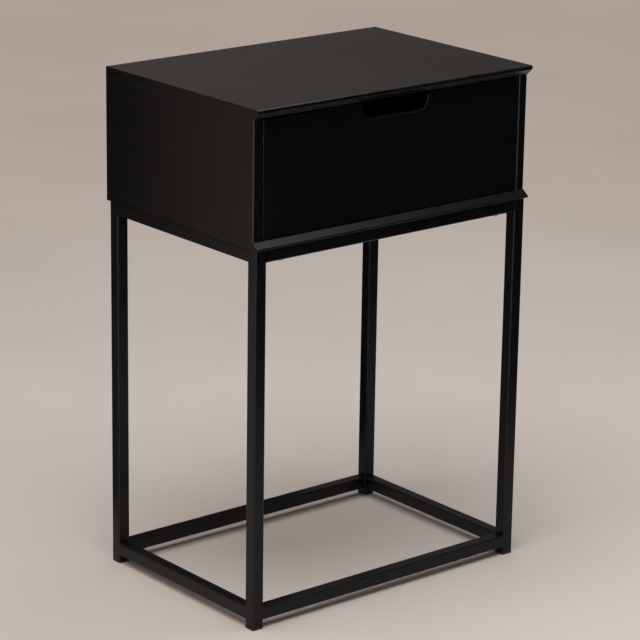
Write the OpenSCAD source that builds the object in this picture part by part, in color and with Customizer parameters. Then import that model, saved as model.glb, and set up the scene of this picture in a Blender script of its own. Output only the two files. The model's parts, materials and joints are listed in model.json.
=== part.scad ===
// Side table: a welded square-tube frame carrying a panelled case with one inset drawer.
// The origin is the middle of the footprint, on the floor. +X is right, +Y is the back, +Z is up.
// The drawer opens towards -Y. Right-hand pieces are drawn and the left-hand ones mirror them.

/* [Table] */
// Width, left to right
table_w = 400; // [330:1:560]
// Depth, front to back
table_d = 280; // [230:1:400]
// Height, floor to tabletop
table_h = 600; // [400:1:800]
// Height of the drawer case that stands on the frame
case_h = 157; // [130:1:240]

/* [Case panels] */
// Thickness of the top panel
top_t = 12; // [10:0.5:20]
// Thickness of the bottom panel
bottom_t = 9; // [9:0.5:18]
// Thickness of each side panel
side_t = 12; // [10:0.5:18]
// Thickness of the back panel
back_t = 4; // [3:0.5:6]
// How far the top and bottom panels reach forward of the side panels
front_reach = 8; // [4:0.5:14]
// Upright edge left above the chamfer under the top panel
top_lip = 4.5; // [2:0.5:8]
// Upright edge left below the chamfer over the bottom panel
bottom_lip = 3; // [1:0.5:6]
// Small bevel on the panels' outer edges
edge_ease = 1.2; // [0.5:0.1:1.5]

/* [Back panel fixing] */
// Width of the ledge that the back panel lies on
ledge_w = 6; // [5.5:0.5:7]
// How far the back panel lies in from the rear edges
back_recess = 2; // [2:0.5:5]
// Clearance round the back panel
back_fit = 0.25; // [0.1:0.05:0.5]
// Radius of the back panel's screws
back_screw_r = 1.25; // [1:0.05:1.5]
// Length of the back panel's screws
back_screw_l = 14; // [10:1:18]
// Radius of the back panel screws' heads
back_screw_head_r = 2.2; // [2:0.1:2.4]
// Thickness of the back panel screws' heads
back_screw_head_t = 1.4; // [1:0.1:1.8]
// Distance from a side panel to the outer screw of a row
back_screw_inset = 40; // [20:1:60]

/* [Dowels] */
// Radius of a dowel
dowel_r = 3; // [2.5:0.5:4]
// Length of a dowel
dowel_l = 24; // [20:1:30]
// Depth of a dowel in the top panel or the drawer front
dowel_in_face = 7; // [5:0.5:8]
// Depth of a dowel in the bottom panel
dowel_in_bottom = 6; // [4:0.5:7]
// Room for glue past the end of a dowel
glue_room = 1; // [0.5:0.5:2]
// Bevel on the ends of a dowel
dowel_ease = 0.7; // [0.4:0.1:1]
// Distance from a side panel's front or back edge to its nearest dowel
dowel_inset = 35; // [20:1:50]

/* [Frame] */
// Outside size of the square tube
tube = 15; // [12:1:20]
// Wall of the square tube
tube_wall = 1.2; // [1:0.1:1.7]
// Radius on the outside corners of the tube
tube_r = 2; // [1.9:0.1:3]
// How far the frame stands in from the case at each side
frame_side_inset = 1.5; // [0:0.5:10]
// How far the frame stands in from the case at front and back
frame_end_inset = 4; // [0:0.5:15]
// Height of the lower rails above the floor
rail_lift = 10; // [6:0.5:40]

/* [Feet] */
// Thickness of a foot's pad, under the tube
foot_t = 2.5; // [1.5:0.5:5]
// Height of the plug that holds a foot in its tube
plug_h = 12; // [8:1:20]
// Clearance between the plug and the tube's walls
plug_fit = 0.1; // [0.05:0.05:0.3]
// Wall of the plug, which is hollow
plug_wall = 1.6; // [1.2:0.1:2.5]

/* [Frame screws] */
// Radius of the screws that hold the case to the frame
frame_screw_r = 2; // [1.5:0.25:2.5]
// Clearance round the screws in the rails
frame_screw_fit = 0.3; // [0.1:0.1:0.6]
// Depth of the screws in the bottom panel
frame_screw_bite = 7; // [5:0.5:8]
// Distance from a leg to the nearest frame screw
frame_screw_inset = 25; // [15:1:60]
// Radius of the frame screws' heads
frame_screw_head_r = 4.2; // [3.5:0.1:5]
// Thickness of the frame screws' heads
frame_screw_head_t = 2.5; // [1.5:0.1:3]

/* [Drawer] */
// Thickness of the drawer front
front_t = 12; // [10:0.5:16]
// Gap all round the drawer front
front_gap = 1.5; // [1:0.1:3]
// Thickness of the drawer's sides and back
box_t = 12; // [9:0.5:15]
// Thickness of the drawer's bottom
drawer_bottom_t = 3; // [2:0.5:5]
// Depth of the groove that holds the drawer's bottom
groove_d = 5; // [4:0.5:6]
// Clearance of the drawer's bottom in its groove
groove_fit = 0.2; // [0.1:0.05:0.5]
// Height of the groove above the lower edge of the drawer's sides
groove_lift = 10; // [10:0.5:15]
// Gap between the drawer's back and the back panel
rear_gap = 12; // [8:1:30]
// How far the drawer's sides stop below the finger notch
notch_room = 7.5; // [2:0.5:20]

/* [Drawer fixings] */
// Radius of the screws in the drawer and its runners
box_screw_r = 1.75; // [1.5:0.05:2]
// Length of the screws through the drawer's sides into its back
box_screw_l = 30; // [25:1:40]
// Radius of those screws' countersunk heads
box_screw_head_r = 3.5; // [3:0.1:4]
// Depth of those screws' countersunk heads
box_screw_head_t = 1.75; // [1.5:0.05:2]
// Distance from those screws to the back's lower and upper edges
box_screw_inset = 22; // [12:1:30]
// Distance from the drawer's dowels to the sides' lower and upper edges
box_dowel_inset = 25; // [20:1:30]
// Depth in the drawer's back of the screws through the drawer's bottom
tray_screw_bite = 10; // [6:1:20]
// Radius of those screws' heads
tray_screw_head_r = 3.2; // [2.5:0.1:4]
// Thickness of those screws' heads
tray_screw_head_t = 1.6; // [1:0.1:2]
// Distance from a drawer side to the outer of those screws
tray_screw_inset = 30; // [15:1:60]

/* [Finger notch] */
// Width of the notch at the drawer front's top edge
notch_top_w = 98; // [80:1:160]
// Width of the notch at its floor
notch_floor_w = 88; // [60:1:140]
// Depth of the notch
notch_d = 19; // [14:1:30]
// Radius where the notch's floor meets its sides
notch_floor_r = 9; // [2:0.5:12]
// Radius where the notch's sides meet the top edge
notch_mouth_r = 5; // [1:0.5:8]

/* [Runners] */
// Width of the space for a runner, between case and drawer
runner_space = 12.5; // [12:0.5:16]
// Thickness of the runners' sheet steel
sheet = 1.2; // [1:0.1:1.5]
// Width of the case runners' flanges
channel_w = 9.5; // [9:0.1:10]
// Gap over the drawer runner's outer flange, inside the case runner
channel_room = 0.8; // [0.5:0.1:1.5]
// Gap between the outer edge of that flange and the case runner
flange_gap = 1.5; // [1:0.1:2]
// Radius of a roller
roller_r = 7; // [6:0.5:8.5]
// Width of a roller
roller_w = 6; // [5:0.5:6]
// Bevel on a roller's edges
roller_ease = 0.5; // [0.3:0.1:1]
// Gap between a roller and what it rolls on
roll_gap = 0.2; // [0.1:0.05:0.3]
// Height of the case runners above the bottom panel
runner_lift = 8; // [6:0.5:12]
// Gap between the drawer front and the case runners
runner_front_gap = 4; // [3:0.5:10]
// Gap between the case runners and the back panel
runner_back_gap = 5; // [2:0.5:15]
// Distance from the front of a case runner to its roller
front_roller_inset = 10; // [8.5:0.5:15]
// Distance from the back of a drawer runner to its roller
rear_roller_inset = 8.5; // [8.5:0.5:15]
// Distance between front and rear rollers with the drawer fully open
roller_overlap = 40; // [25:1:80]
// Height of the stop that the rear roller meets
stop_h = 2.5; // [1.5:0.25:4]
// Length of the case runner's front that is open above
lift_out_l = 60; // [50:1:90]
// Distance from a runner's end to its nearest screw
runner_screw_inset = 55; // [50:1:70]
// Depth of the case runners' screws in the side panels
case_runner_bite = 9; // [6:0.5:9.5]
// Depth of the drawer runners' screws in the drawer's sides
drawer_runner_bite = 8.5; // [6:0.5:9]
// Radius of the runner screws' heads
runner_screw_head_r = 3; // [2.5:0.1:3.5]
// Thickness of the runner screws' heads
runner_screw_head_t = 1; // [0.8:0.1:1.2]
// Clearance round the screws in the runners
runner_screw_fit = 0.15; // [0.1:0.05:0.3]
// Gap between moving and fixed runner at both ends of the travel
end_gap = 0.3; // [0.3:0.1:1]

/* [Roller pins] */
// Radius of a roller pin
pin_r = 2; // [1.5:0.25:2.5]
// Running clearance between a pin and its roller
pin_fit = 0.05; // [0.02:0.01:0.1]
// Radius of a pin's head and collar
pin_head_r = 3.2; // [3:0.1:4]
// Thickness of a pin's head
pin_head_t = 0.8; // [0.6:0.1:1]
// Gap between a roller and the pin's head or collar
pin_end_gap = 0.2; // [0.1:0.05:0.3]
// Gap round a pin's head in the roller's recess
pin_head_fit = 0.4; // [0.2:0.1:0.6]
// Length of the collar between a case runner and its roller
front_collar_l = 1.1; // [0.8:0.1:1.5]
// Length of the collar between a drawer runner and its roller
rear_collar_l = 2.1; // [1.8:0.1:2.5]

/* [Hidden] */
$fn = 48;
past = 1; // how far a cut runs past the face it opens

lacquer = [0.07, 0.07, 0.07];
drawer_lacquer = [0.10, 0.10, 0.10];
board = [0.16, 0.14, 0.12];
powder_coat = [0.11, 0.11, 0.11];
runner_coat = [0.20, 0.20, 0.21];
zinc = [0.72, 0.73, 0.75];
foot_plastic = [0.05, 0.05, 0.05];
roller_plastic = [0.85, 0.85, 0.82];
beech = [0.80, 0.62, 0.42];

// Case
half_w = table_w / 2;
front_y = -table_d / 2;
back_y = table_d / 2;
case_z = table_h - case_h;
bay_floor = case_z + bottom_t;
bay_top = table_h - top_t;
bay_x = half_w - side_t;
side_front_y = front_y + front_reach;
bay_back_y = back_y - back_recess - back_t;
dowel_x = half_w - side_t / 2;
dowel_ys = [side_front_y + dowel_inset, (side_front_y + back_y) / 2, back_y - dowel_inset];
back_screw_spread = bay_x - back_screw_inset;

// Frame
leg_x = half_w - frame_side_inset - tube / 2;
leg_y = back_y - frame_end_inset - tube / 2;
cross_l = 2 * leg_x - tube;
long_l = 2 * leg_y - tube;
frame_screw_x = leg_x - tube / 2 - frame_screw_inset;
plug_size = tube - 2 * tube_wall - 2 * plug_fit;
plug_ribs = 3; // gripping ribs round a foot's plug
plug_rib_d = 0.5;
plug_rib_t = 1;

// Drawer
front_back_y = side_front_y + front_t;
front_x = bay_x - front_gap;
front_z0 = bay_floor + front_gap;
front_z1 = bay_top - front_gap;
box_x = bay_x - runner_space;
box_inner_x = box_x - box_t;
box_back_y = bay_back_y - rear_gap;
box_mid_x = box_x - box_t / 2;
slot_h = drawer_bottom_t + groove_fit;

// Runners, rollers and their pins
channel_z0 = bay_floor + runner_lift;
roller_z = channel_z0 + sheet + roll_gap + roller_r;
flange_z = roller_z + roller_r + roll_gap; // underside of the drawer runner's outer flange
channel_z1 = flange_z + sheet + channel_room + sheet;
box_z0 = channel_z0;
box_z1 = front_z1 - notch_d - notch_room;
groove_z = box_z0 + groove_lift;
runner_y0 = front_back_y + runner_front_gap;
runner_y1 = bay_back_y - runner_back_gap;
drawer_runner_y0 = front_back_y + 1;
drawer_runner_y1 = runner_y1 - sheet - end_gap;
front_roller_y = runner_y0 + front_roller_inset;
rear_roller_y = drawer_runner_y1 - rear_roller_inset;
travel = rear_roller_y - front_roller_y - roller_overlap;
stop_reach = sqrt(pow(roller_r, 2) - pow(roller_r + roll_gap - stop_h, 2));
stop_y = rear_roller_y - travel - stop_reach - end_gap;
runner_web_x = bay_x - sheet; // inner face of the case runner's web
drawer_web_x = box_x + sheet; // outer face of the drawer runner's web
front_roller_x0 = runner_web_x - front_collar_l - pin_end_gap - roller_w;
rear_roller_x0 = drawer_web_x + rear_collar_l + pin_end_gap;
flange_x = runner_web_x - flange_gap; // outer edge of the drawer runner's flange
roller_recess_t = pin_head_t + pin_end_gap;
case_runner_screw_ys = [runner_y0 + runner_screw_inset, runner_y1 - runner_screw_inset];
drawer_runner_screw_ys = [
    drawer_runner_y0 + runner_screw_inset, drawer_runner_y1 - runner_screw_inset
];

tray_screw_spread = box_inner_x - tray_screw_inset;

// ---- Shared shapes ----

module block(x0, x1, y0, y1, z0, z1)
    translate([x0, y0, z0]) cube([x1 - x0, y1 - y0, z1 - z0]);

// A profile drawn as (y, z) and stretched along X, or as (x, z) and stretched along Y
module along_x(length) rotate([90, 0, 90]) linear_extrude(length, center = true) children();
module along_y(y0, y1) translate([0, y1, 0]) rotate([90, 0, 0]) linear_extrude(y1 - y0) children();

// Draws the right-hand piece, or the left-hand one when side is -1
module on_side(side) mirror([side < 0 ? 1 : 0, 0, 0]) children();

function arc(centre, r, from, to, steps = 10) =
    [for (i = [0 : steps]) let (a = from + (to - from) * i / steps) centre + r * [cos(a), sin(a)]];

module rounded_square(size, r) {
    square([size - 2 * r, size], center = true);
    square([size, size - 2 * r], center = true);
    for (x = [-1, 1], y = [-1, 1]) translate([x, y] * (size / 2 - r)) circle(r);
}

module tube_section() difference() {
    rounded_square(tube, tube_r);
    rounded_square(tube - 2 * tube_wall, tube_r - tube_wall);
}

// A dowel up from z = 0, with bevelled ends
module dowel() rotate_extrude() polygon([
    [0, 0], [dowel_r - dowel_ease, 0], [dowel_r, dowel_ease], [dowel_r, dowel_l - dowel_ease],
    [dowel_r - dowel_ease, dowel_l], [0, dowel_l]
]);

module dowel_hole() cylinder(r = dowel_r, h = dowel_l + glue_room);

// The driver's cross in a screw head whose face is at z = 0 and which rises from there
module driver_cross(r, depth)
    for (turn = [0, 90]) rotate([0, 0, turn])
        translate([-r * 0.55, -r * 0.12, -past]) cube([r * 1.1, r * 0.24, depth + past]);

// A screw whose head sits below z = 0, with its shank up from there
module pan_screw(head_r, head_t, r, length) {
    difference() {
        rotate_extrude() polygon([
            [0, -head_t], [head_r * 0.62, -head_t], [head_r * 0.9, -head_t * 0.72],
            [head_r, -head_t * 0.3], [head_r, 0], [0, 0]
        ]);
        translate([0, 0, -head_t]) driver_cross(head_r, head_t * 0.5);
    }
    screw_shank(r, length);
}

module screw_shank(r, length) cylinder(r = r, h = length);

// A countersunk screw, head face at z = 0 and shank rising into the wood
module flat_screw_body(head_r, head_t, r, length) {
    cylinder(r1 = head_r, r2 = r, h = head_t);
    cylinder(r = r, h = length);
}

module flat_screw(head_r, head_t, r, length) difference() {
    flat_screw_body(head_r, head_t, r, length);
    driver_cross(head_r, head_t * 0.6);
}

// ---- Case ----

// Section of the top or bottom panel, with its inner face at 0 and its outer face at thickness
module panel_section(thickness, lip) polygon([
    [side_front_y, 0], [front_y, thickness - lip], [front_y, thickness - edge_ease],
    [front_y + edge_ease, thickness], [back_y - edge_ease, thickness],
    [back_y, thickness - edge_ease], [back_y, 0]
]);

// The recess in all four case panels that the back panel lies in
module back_ledge_cut() block(
    -bay_x - ledge_w, bay_x + ledge_w, bay_back_y, back_y + past,
    bay_floor - ledge_w, bay_top + ledge_w
);

module at_top_dowels() for (side = [-1, 1], y = dowel_ys)
    translate([side * dowel_x, y, bay_top + dowel_in_face]) rotate([180, 0, 0]) children();

module at_bottom_dowels() for (side = [-1, 1], y = dowel_ys)
    translate([side * dowel_x, y, bay_floor - dowel_in_bottom]) children();

// The back panel's screws: three along the top and bottom, one down each side
back_screw_places = [
    for (x = [-1, 0, 1] * back_screw_spread, z = [bay_floor - ledge_w / 2, bay_top + ledge_w / 2]) [x, z],
    for (x = [-1, 1] * (bay_x + ledge_w / 2)) [x, (bay_floor + bay_top) / 2]
];

module at_back_screws() for (place = back_screw_places)
    translate([place.x, bay_back_y + back_t, place.y]) rotate([90, 0, 0]) children();

module at_frame_screws() for (x = [-1, 1] * frame_screw_x, y = [-1, 1] * leg_y)
    translate([x, y, case_z - tube]) children();

module at_case_runner_screws() for (side = [-1, 1]) on_side(side)
    for (y = case_runner_screw_ys)
        translate([runner_web_x, y, roller_z]) rotate([0, 90, 0]) children();

module top_panel() color(lacquer) difference() {
    translate([0, 0, bay_top]) along_x(table_w) panel_section(top_t, top_lip);
    back_ledge_cut();
    at_top_dowels() dowel_hole();
    at_back_screws() screw_shank(back_screw_r, back_screw_l);
}

module bottom_panel() color(lacquer) difference() {
    translate([0, 0, bay_floor]) mirror([0, 0, 1]) along_x(table_w) panel_section(bottom_t, bottom_lip);
    back_ledge_cut();
    at_bottom_dowels() dowel_hole();
    at_back_screws() screw_shank(back_screw_r, back_screw_l);
    at_frame_screws() screw_shank(frame_screw_r, tube + frame_screw_bite);
}

module side_panel(side) color(lacquer) difference() {
    on_side(side) translate([0, 0, bay_floor]) linear_extrude(bay_top - bay_floor) polygon([
        [bay_x, back_y], [bay_x, side_front_y + edge_ease], [bay_x + edge_ease, side_front_y],
        [half_w - edge_ease, side_front_y], [half_w, side_front_y + edge_ease], [half_w, back_y]
    ]);
    back_ledge_cut();
    at_top_dowels() dowel_hole();
    at_bottom_dowels() dowel_hole();
    at_back_screws() screw_shank(back_screw_r, back_screw_l);
    at_case_runner_screws() screw_shank(box_screw_r, sheet + case_runner_bite);
}

module back_panel() color(board) difference() {
    block(
        -bay_x - ledge_w + back_fit, bay_x + ledge_w - back_fit, bay_back_y, bay_back_y + back_t,
        bay_floor - ledge_w + back_fit, bay_top + ledge_w - back_fit
    );
    at_back_screws() screw_shank(back_screw_r, back_screw_l);
}

module case_dowels() color(beech) {
    at_top_dowels() dowel();
    at_bottom_dowels() dowel();
}

module back_panel_screws() color(zinc) at_back_screws()
    pan_screw(back_screw_head_r, back_screw_head_t, back_screw_r, back_screw_l);

// ---- Frame ----

module leg(x_side, y_side) color(powder_coat)
    translate([x_side * leg_x, y_side * leg_y, foot_t]) linear_extrude(case_z - foot_t) tube_section();

module frame_screw_holes() at_frame_screws()
    translate([0, 0, -past]) cylinder(r = frame_screw_r + frame_screw_fit, h = tube + 2 * past);

// A rail across the width, at the front or the back
module cross_rail(y_side, z0) color(powder_coat) difference() {
    translate([0, y_side * leg_y, z0 + tube / 2]) along_x(cross_l) tube_section();
    frame_screw_holes();
}

// A rail along the depth, at the left or the right
module long_rail(x_side, z0) color(powder_coat)
    translate([x_side * leg_x, 0, z0 + tube / 2]) along_y(-long_l / 2, long_l / 2) tube_section();

module plug_ring(size) difference() {
    rounded_square(size, tube_r - tube_wall);
    rounded_square(size - 2 * plug_wall, tube_r - tube_wall);
}

module foot(x_side, y_side) color(foot_plastic)
    translate([x_side * leg_x, y_side * leg_y, 0]) {
        linear_extrude(foot_t) rounded_square(tube, tube_r);
        linear_extrude(foot_t + plug_h) plug_ring(plug_size - 2 * plug_rib_d);
        for (i = [1 : plug_ribs]) translate([0, 0, foot_t + (i - 0.5) * plug_h / plug_ribs])
            linear_extrude(plug_rib_t) plug_ring(plug_size);
    }

module frame_screws() color(zinc) at_frame_screws()
    pan_screw(frame_screw_head_r, frame_screw_head_t, frame_screw_r, tube + frame_screw_bite);

// ---- Runners fixed in the case ----

module case_runner(side) color(runner_coat) on_side(side) difference() {
    union() {
        block(runner_web_x, bay_x, runner_y0, runner_y1, channel_z0, channel_z1);
        block(bay_x - channel_w, bay_x, runner_y0, runner_y1, channel_z0, channel_z0 + sheet);
        block(bay_x - channel_w, bay_x, runner_y0 + lift_out_l, runner_y1, channel_z1 - sheet, channel_z1);
        // End stop for the closed drawer
        block(bay_x - channel_w, bay_x, runner_y1 - sheet, runner_y1, channel_z0, channel_z1);
        // Stop that the rear roller meets when the drawer is fully open
        block(bay_x - channel_w, bay_x, stop_y - sheet, stop_y, channel_z0, channel_z0 + sheet + stop_h);
    }
    translate([runner_web_x - past, front_roller_y, roller_z]) rotate([0, 90, 0])
        cylinder(r = pin_r, h = sheet + 2 * past);
    for (y = case_runner_screw_ys) translate([runner_web_x - past, y, roller_z]) rotate([0, 90, 0])
        cylinder(r = box_screw_r + runner_screw_fit, h = sheet + 2 * past);
}

module case_runner_screws() color(zinc) at_case_runner_screws()
    pan_screw(runner_screw_head_r, runner_screw_head_t, box_screw_r, sheet + case_runner_bite);

// A roller lying along X from x0, with the recess for the pin's head at its low or high end
module roller(x0, head_low) translate([x0, 0, roller_z]) difference() {
    rotate([0, 90, 0]) rotate_extrude() polygon([
        [pin_r + pin_fit, 0], [roller_r - roller_ease, 0], [roller_r, roller_ease],
        [roller_r, roller_w - roller_ease], [roller_r - roller_ease, roller_w],
        [pin_r + pin_fit, roller_w]
    ]);
    translate([head_low ? -past : roller_w - roller_recess_t, 0, 0]) rotate([0, 90, 0])
        cylinder(r = pin_head_r + pin_head_fit, h = roller_recess_t + past);
}

module front_roller(side) color(roller_plastic) on_side(side)
    translate([0, front_roller_y, 0]) roller(front_roller_x0, true);

module rear_roller(side) color(roller_plastic) on_side(side)
    translate([0, rear_roller_y, 0]) roller(rear_roller_x0, false);

// Pins riveted in the case runners, heads towards the drawer
module front_roller_pins() color(zinc) for (side = [-1, 1]) on_side(side)
    translate([0, front_roller_y, roller_z]) rotate([0, 90, 0]) {
        translate([0, 0, front_roller_x0]) cylinder(r = pin_head_r, h = pin_head_t);
        translate([0, 0, front_roller_x0]) cylinder(r = pin_r, h = bay_x - front_roller_x0);
        translate([0, 0, runner_web_x - front_collar_l]) cylinder(r = pin_head_r, h = front_collar_l);
    }

// ---- Drawer ----

module at_drawer_dowels()
    for (side = [-1, 1], z = [box_z0 + box_dowel_inset, box_z1 - box_dowel_inset])
        translate([side * box_mid_x, front_back_y - dowel_in_face, z]) rotate([-90, 0, 0]) children();

module at_drawer_back_screws() for (side = [-1, 1]) on_side(side)
    for (z = [groove_z + box_screw_inset, box_z1 - box_screw_inset])
        translate([box_x, box_back_y - box_t / 2, z]) rotate([0, -90, 0]) children();

module at_drawer_bottom_screws() for (x = [-1, 0, 1] * tray_screw_spread)
    translate([x, box_back_y - box_t / 2, groove_z]) children();

module at_drawer_runner_screws() for (side = [-1, 1], y = drawer_runner_screw_ys)
    translate([side * box_mid_x, y, box_z0 - sheet]) children();

module groove() block(
    -box_inner_x - groove_d, box_inner_x + groove_d, front_back_y - groove_d, box_back_y + past,
    groove_z, groove_z + slot_h
);

// Outline of the finger notch below the middle of the top edge, open upwards
module notch_outline() {
    slant = atan2(notch_d, (notch_top_w - notch_floor_w) / 2);
    floor_run = notch_floor_r / tan((180 - slant) / 2);
    mouth_run = notch_mouth_r / tan((180 - slant) / 2);
    floor_centre = [notch_floor_w / 2 - floor_run, notch_floor_r - notch_d];
    mouth_centre = [notch_top_w / 2 + mouth_run, -notch_mouth_r];
    half = concat(
        arc(floor_centre, notch_floor_r, -90, slant - 90),
        arc(mouth_centre, notch_mouth_r, slant + 90, 90),
        [[mouth_centre.x, past]]
    );
    polygon(concat(half, [for (i = [len(half) - 1 : -1 : 0]) [-half[i].x, half[i].y]]));
}

module drawer_front() color(lacquer) difference() {
    along_y(side_front_y, front_back_y) difference() {
        translate([-front_x, front_z0]) square([2 * front_x, front_z1 - front_z0]);
        translate([0, front_z1]) notch_outline();
    }
    groove();
    at_drawer_dowels() dowel_hole();
}

module drawer_side(side) color(drawer_lacquer) difference() {
    on_side(side) block(box_inner_x, box_x, front_back_y, box_back_y, box_z0, box_z1);
    groove();
    at_drawer_dowels() dowel_hole();
    at_drawer_back_screws() flat_screw_body(box_screw_head_r, box_screw_head_t, box_screw_r, box_screw_l);
    at_drawer_runner_screws() screw_shank(box_screw_r, sheet + drawer_runner_bite);
}

module drawer_back() color(drawer_lacquer) difference() {
    block(
        -box_inner_x, box_inner_x, box_back_y - box_t, box_back_y, groove_z + drawer_bottom_t, box_z1
    );
    at_drawer_back_screws() flat_screw_body(box_screw_head_r, box_screw_head_t, box_screw_r, box_screw_l);
    at_drawer_bottom_screws() screw_shank(box_screw_r, drawer_bottom_t + tray_screw_bite);
}

module drawer_bottom() color(board) difference() {
    block(
        -box_inner_x - groove_d + groove_fit, box_inner_x + groove_d - groove_fit,
        front_back_y - groove_d + groove_fit, box_back_y, groove_z, groove_z + drawer_bottom_t
    );
    at_drawer_bottom_screws() screw_shank(box_screw_r, drawer_bottom_t + tray_screw_bite);
}

module drawer_dowels() color(beech) at_drawer_dowels() dowel();

module drawer_back_screws() color(zinc) at_drawer_back_screws()
    flat_screw(box_screw_head_r, box_screw_head_t, box_screw_r, box_screw_l);

module drawer_bottom_screws() color(zinc) at_drawer_bottom_screws()
    pan_screw(tray_screw_head_r, tray_screw_head_t, box_screw_r, drawer_bottom_t + tray_screw_bite);

module drawer_runner(side) color(runner_coat) on_side(side) difference() {
    union() {
        block(box_x, drawer_web_x, drawer_runner_y0, drawer_runner_y1, box_z0 - sheet, flange_z + sheet);
        block(box_x, flange_x, drawer_runner_y0, drawer_runner_y1, flange_z, flange_z + sheet);
        block(box_inner_x + 1, drawer_web_x, drawer_runner_y0, box_back_y, box_z0 - sheet, box_z0);
    }
    translate([box_x - past, rear_roller_y, roller_z]) rotate([0, 90, 0])
        cylinder(r = pin_r, h = sheet + 2 * past);
    for (y = drawer_runner_screw_ys) translate([box_mid_x, y, box_z0 - sheet - past])
        cylinder(r = box_screw_r + runner_screw_fit, h = sheet + 2 * past);
}

module drawer_runner_screws() color(zinc) at_drawer_runner_screws()
    pan_screw(runner_screw_head_r, runner_screw_head_t, box_screw_r, sheet + drawer_runner_bite);

// Pins riveted in the drawer runners, heads towards the case
module rear_roller_pins() color(zinc) for (side = [-1, 1]) on_side(side)
    translate([0, rear_roller_y, roller_z]) rotate([0, 90, 0]) {
        translate([0, 0, box_x]) cylinder(r = pin_r, h = rear_roller_x0 + roller_w - box_x);
        translate([0, 0, drawer_web_x]) cylinder(r = pin_head_r, h = rear_collar_l);
        translate([0, 0, rear_roller_x0 + roller_w - pin_head_t]) cylinder(r = pin_head_r, h = pin_head_t);
    }

// ---- Pieces ----

top_panel();
bottom_panel();
side_panel(-1);  // left_side_panel
side_panel(1);  // right_side_panel
back_panel();
case_dowels();
back_panel_screws();
leg(-1, -1);  // front_left_leg
leg(1, -1);  // front_right_leg
leg(-1, 1);  // back_left_leg
leg(1, 1);  // back_right_leg
cross_rail(-1, case_z - tube);  // front_top_rail
cross_rail(1, case_z - tube);  // back_top_rail
long_rail(-1, case_z - tube);  // left_top_rail
long_rail(1, case_z - tube);  // right_top_rail
cross_rail(-1, rail_lift);  // front_bottom_rail
cross_rail(1, rail_lift);  // back_bottom_rail
long_rail(-1, rail_lift);  // left_bottom_rail
long_rail(1, rail_lift);  // right_bottom_rail
foot(-1, -1);  // front_left_foot
foot(1, -1);  // front_right_foot
foot(-1, 1);  // back_left_foot
foot(1, 1);  // back_right_foot
frame_screws();
case_runner(-1);  // left_case_runner
case_runner(1);  // right_case_runner
case_runner_screws();
front_roller_pins();
drawer_front();
drawer_side(-1);  // drawer_left_side
drawer_side(1);  // drawer_right_side
drawer_back();
drawer_bottom();
drawer_dowels();
drawer_back_screws();
drawer_bottom_screws();
drawer_runner(-1);  // left_drawer_runner
drawer_runner(1);  // right_drawer_runner
drawer_runner_screws();
rear_roller_pins();
front_roller(-1);  // left_front_roller
front_roller(1);  // right_front_roller
rear_roller(-1);  // left_rear_roller
rear_roller(1);  // right_rear_roller
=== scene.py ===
"""Finish of the side table: rounded arrises, lacquer, powder coat, fasteners, welds and rollers.

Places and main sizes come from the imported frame. Lengths are metres, +X is right, +Y is the back.
"""

import json
import math

import bmesh
import bpy
from mathutils import Matrix, Vector

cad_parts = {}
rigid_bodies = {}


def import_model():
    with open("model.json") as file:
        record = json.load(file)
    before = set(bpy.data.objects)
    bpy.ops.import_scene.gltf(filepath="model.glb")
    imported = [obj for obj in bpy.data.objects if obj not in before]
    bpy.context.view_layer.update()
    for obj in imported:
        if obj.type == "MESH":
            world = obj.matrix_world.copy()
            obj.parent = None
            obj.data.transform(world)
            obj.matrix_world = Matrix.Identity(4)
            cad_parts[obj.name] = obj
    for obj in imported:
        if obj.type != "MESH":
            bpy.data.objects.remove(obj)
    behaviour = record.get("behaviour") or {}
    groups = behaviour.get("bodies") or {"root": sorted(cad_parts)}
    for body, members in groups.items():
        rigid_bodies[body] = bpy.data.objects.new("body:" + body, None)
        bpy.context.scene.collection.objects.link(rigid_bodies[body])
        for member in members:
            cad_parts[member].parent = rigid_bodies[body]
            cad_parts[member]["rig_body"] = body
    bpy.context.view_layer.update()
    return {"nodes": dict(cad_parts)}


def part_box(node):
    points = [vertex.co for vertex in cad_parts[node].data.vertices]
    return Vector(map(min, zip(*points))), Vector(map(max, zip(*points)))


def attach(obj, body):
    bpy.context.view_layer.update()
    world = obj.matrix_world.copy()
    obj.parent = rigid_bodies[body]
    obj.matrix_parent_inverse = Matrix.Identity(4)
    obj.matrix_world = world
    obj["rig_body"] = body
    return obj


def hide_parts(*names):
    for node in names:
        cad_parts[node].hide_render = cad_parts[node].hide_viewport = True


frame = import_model()

MM = 0.001
UP = 2  # which number of a place is its height
NODES = frame["nodes"]

# ---- Which finish each piece of the frame gets ----

CASE_PANELS = ["top_panel", "bottom_panel", "left_side_panel", "right_side_panel"]
LEGS = [f"{end}_{side}_leg" for end in ("front", "back") for side in ("left", "right")]
TOP_RAILS = [f"{side}_top_rail" for side in ("front", "back", "left", "right")]
BOTTOM_RAILS = [f"{side}_bottom_rail" for side in ("front", "back", "left", "right")]
FEET = [f"{end}_{side}_foot" for end in ("front", "back") for side in ("left", "right")]
DRAWER_BOX = ["drawer_left_side", "drawer_right_side", "drawer_back"]
THIN_BOARDS = ["back_panel", "drawer_bottom"]
RUNNERS = [f"{side}_{on}_runner" for side in ("left", "right") for on in ("case", "drawer")]
ROLLERS = [f"{side}_{end}_roller" for side in ("left", "right") for end in ("front", "rear")]
ROLLER_PINS = ["front_roller_pins", "rear_roller_pins"]
PAN_SCREWS = [
    "back_panel_screws", "frame_screws", "case_runner_screws", "drawer_bottom_screws", "drawer_runner_screws",
]
FLAT_SCREWS = ["drawer_back_screws"]
DOWELS = ["case_dowels", "drawer_dowels"]

# ---- Node trees ----


def put(tree, kind, wires=None, **settings):
    """Adds a node, sets its options, and fills its inputs with values or other nodes' outputs."""
    made = tree.nodes.new(kind)
    for key, value in settings.items():
        setattr(made, key, value)
    for key, value in (wires or {}).items():
        fill(tree, made.inputs[key], value)
    return made


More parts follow.
